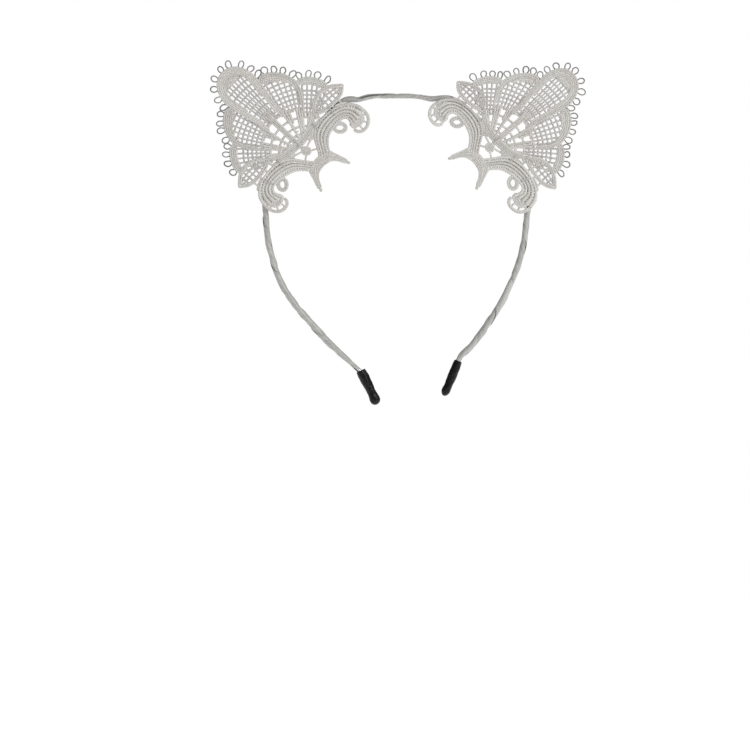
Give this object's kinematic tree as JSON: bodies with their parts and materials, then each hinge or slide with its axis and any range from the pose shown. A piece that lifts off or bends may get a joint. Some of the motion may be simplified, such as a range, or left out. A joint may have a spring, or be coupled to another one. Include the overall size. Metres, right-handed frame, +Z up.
{
  "type": "animal ears headband",
  "caption": "Slim ribbon-wound spring headband with upright open-work lace cat ears sewn to its front and moulded end caps.",
  "frame": {"origin": "middle of the flat underside of the crown, where the band rests on the head", "axes": "+X along the band from the left-hand leg to the right-hand leg seen from the front, +Y from the lace front to the back, +Z up"},
  "size_m": [0.1772, 0.0081, 0.1658],
  "materials": {
    "steel": "bright rolled spring strip",
    "ribbon": "silver-grey satin ribbon",
    "lace": "off-white guipure embroidery",
    "rubber": "smooth black, half gloss",
    "thread": "white sewing thread"
  },
  "bodies": {
    "crown": {"crown_strip": "steel", "crown_ribbon": "ribbon"},
    "left_side": {"left_strip": "steel", "left_ribbon": "ribbon", "left_cap": "rubber", "left_ear_lace": "lace", "left_tack_1": "thread", "left_tack_2": "thread", "left_tack_3": "thread", "left_tack_4": "thread", "left_tack_5": "thread"},
    "right_side": {"right_strip": "steel", "right_ribbon": "ribbon", "right_cap": "rubber", "right_ear_lace": "lace", "right_tack_1": "thread", "right_tack_2": "thread", "right_tack_3": "thread", "right_tack_4": "thread", "right_tack_5": "thread"}
  },
  "joints": [
    {"name": "left_flex", "type": "hinge", "parent": "crown", "child": "left_side", "pos_m": [-0.00625, 0, 0.003], "axis": [0, 1, 0], "range_deg": [-4, 20], "stiffness_Nm_per_rad": 0.65},
    {"name": "right_flex", "type": "hinge", "parent": "crown", "child": "right_side", "pos_m": [0.00625, 0, 0.003], "axis": [0, -1, 0], "range_deg": [-4, 20], "stiffness_Nm_per_rad": 0.65}
  ]
}
